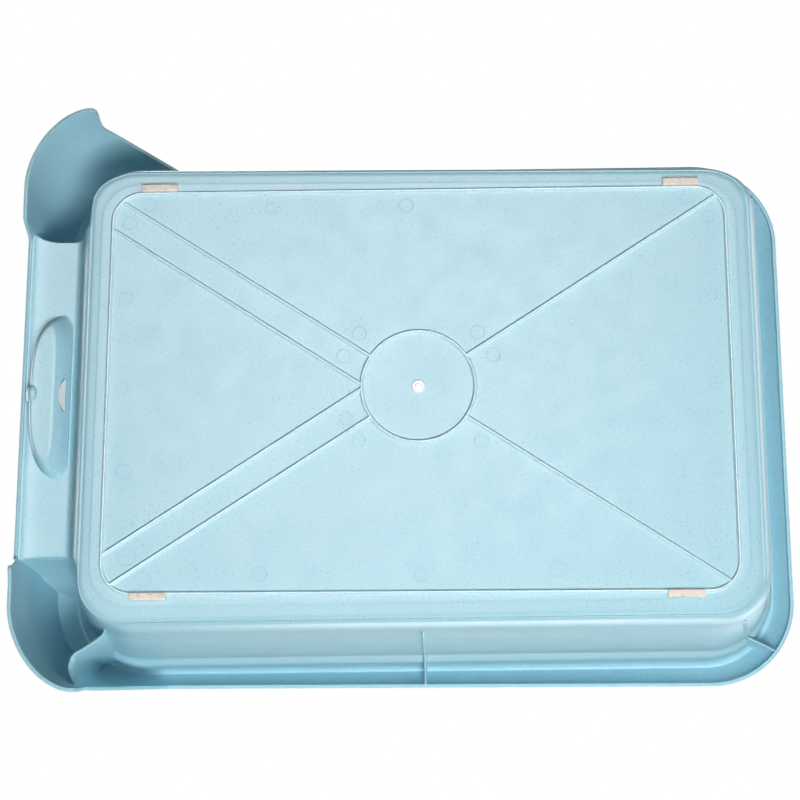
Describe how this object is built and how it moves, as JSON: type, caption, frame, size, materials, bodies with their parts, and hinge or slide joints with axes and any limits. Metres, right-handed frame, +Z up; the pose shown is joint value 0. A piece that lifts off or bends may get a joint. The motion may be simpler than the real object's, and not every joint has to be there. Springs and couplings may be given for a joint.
{
  "type": "dog potty tray",
  "caption": "Moulded dog potty tray with high walls, a low entry with a finger scoop, hollow front corner shells, a lift-out slotted grate and anti-slip pads under its ribbed base.",
  "frame": {"origin": "middle of the overall box, on the surface that the anti-slip pads stand on", "axes": "+X towards the high back wall and -X towards the low entry, +Y across the tray, +Z up out of the pan"},
  "size_m": [0.5, 0.3828, 0.1059],
  "materials": {
    "blue_plastic": "satin, finely speckled pale blue",
    "white_plastic": "satin white",
    "beige_rubber": "matt beige"
  },
  "bodies": {
    "tray": {"tray_body": "blue_plastic", "pad_front_left": "beige_rubber", "pad_front_right": "beige_rubber", "pad_back_left": "beige_rubber", "pad_back_right": "beige_rubber"},
    "lift_out_grate": {"grate": "white_plastic"}
  },
  "joints": [
    {"name": "grate_lift", "type": "slide", "parent": "tray", "child": "lift_out_grate", "axis": [0, 0, 1], "range_m": [0, 0.12]}
  ]
}
